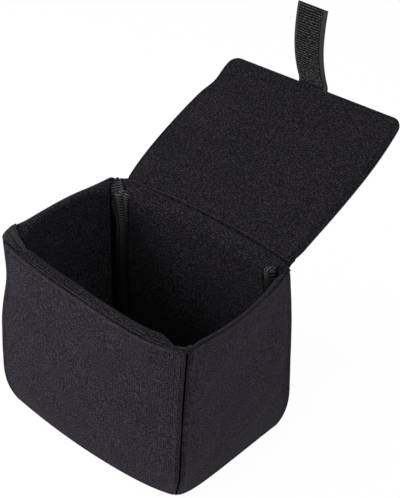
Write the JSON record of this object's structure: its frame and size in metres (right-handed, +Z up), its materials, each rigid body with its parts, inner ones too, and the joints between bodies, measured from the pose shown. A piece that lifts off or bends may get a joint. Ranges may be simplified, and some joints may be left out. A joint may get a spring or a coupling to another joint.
{
  "type": "padded camera insert",
  "caption": "Open-topped padded fabric box with soft bowed walls, a hinged padded flap lid and a hook strap, for cushioning a camera inside a bag.",
  "frame": {"origin": "middle of the flat underside of the base, on the surface it stands on", "axes": "+Z up, -Y out of the front wall, +X to the right seen from the front; the lid hinges on the back wall at +Y and is stored open as in the picture"},
  "size_m": [0.1494, 0.2096, 0.22],
  "materials": {
    "shell_knit": "matte",
    "lining_knit": "matte",
    "rib_knit": "matte",
    "foam": "matte",
    "strap_webbing": "matte",
    "hook_pile": "satin"
  },
  "bodies": {
    "box": {"front_outer_cover": "shell_knit", "front_foam_board": "foam", "front_lining": "lining_knit", "right_outer_cover": "shell_knit", "right_foam_board": "foam", "right_lining": "lining_knit", "back_outer_cover": "shell_knit", "back_foam_board": "foam", "back_lining": "lining_knit", "left_outer_cover": "shell_knit", "left_foam_board": "foam", "left_lining": "lining_knit", "base_outer_cover": "shell_knit", "base_foam_board": "foam", "base_lining": "lining_knit", "front_right_gusset": "rib_knit", "back_right_gusset": "rib_knit", "back_left_gusset": "rib_knit", "front_left_gusset": "rib_knit", "lid_hinge_strip": "shell_knit"},
    "lid": {"lid_outer_cover": "shell_knit", "lid_foam_board": "foam", "lid_lining": "lining_knit"},
    "strap": {"strap_tape": "strap_webbing", "hook_field": "hook_pile"}
  },
  "joints": [
    {"name": "lid_hinge", "type": "hinge", "parent": "box", "child": "lid", "pos_m": [0, 0.04927, 0.1191], "axis": [1, 0, 0], "range_deg": [-74, 157], "deforming": ["lid_hinge_strip"]},
    {"name": "strap_flex", "type": "hinge", "parent": "lid", "child": "strap", "pos_m": [-0.004, 0.15428, 0.1647], "axis": [1, 0, 0], "range_deg": [-150, 17]}
  ]
}
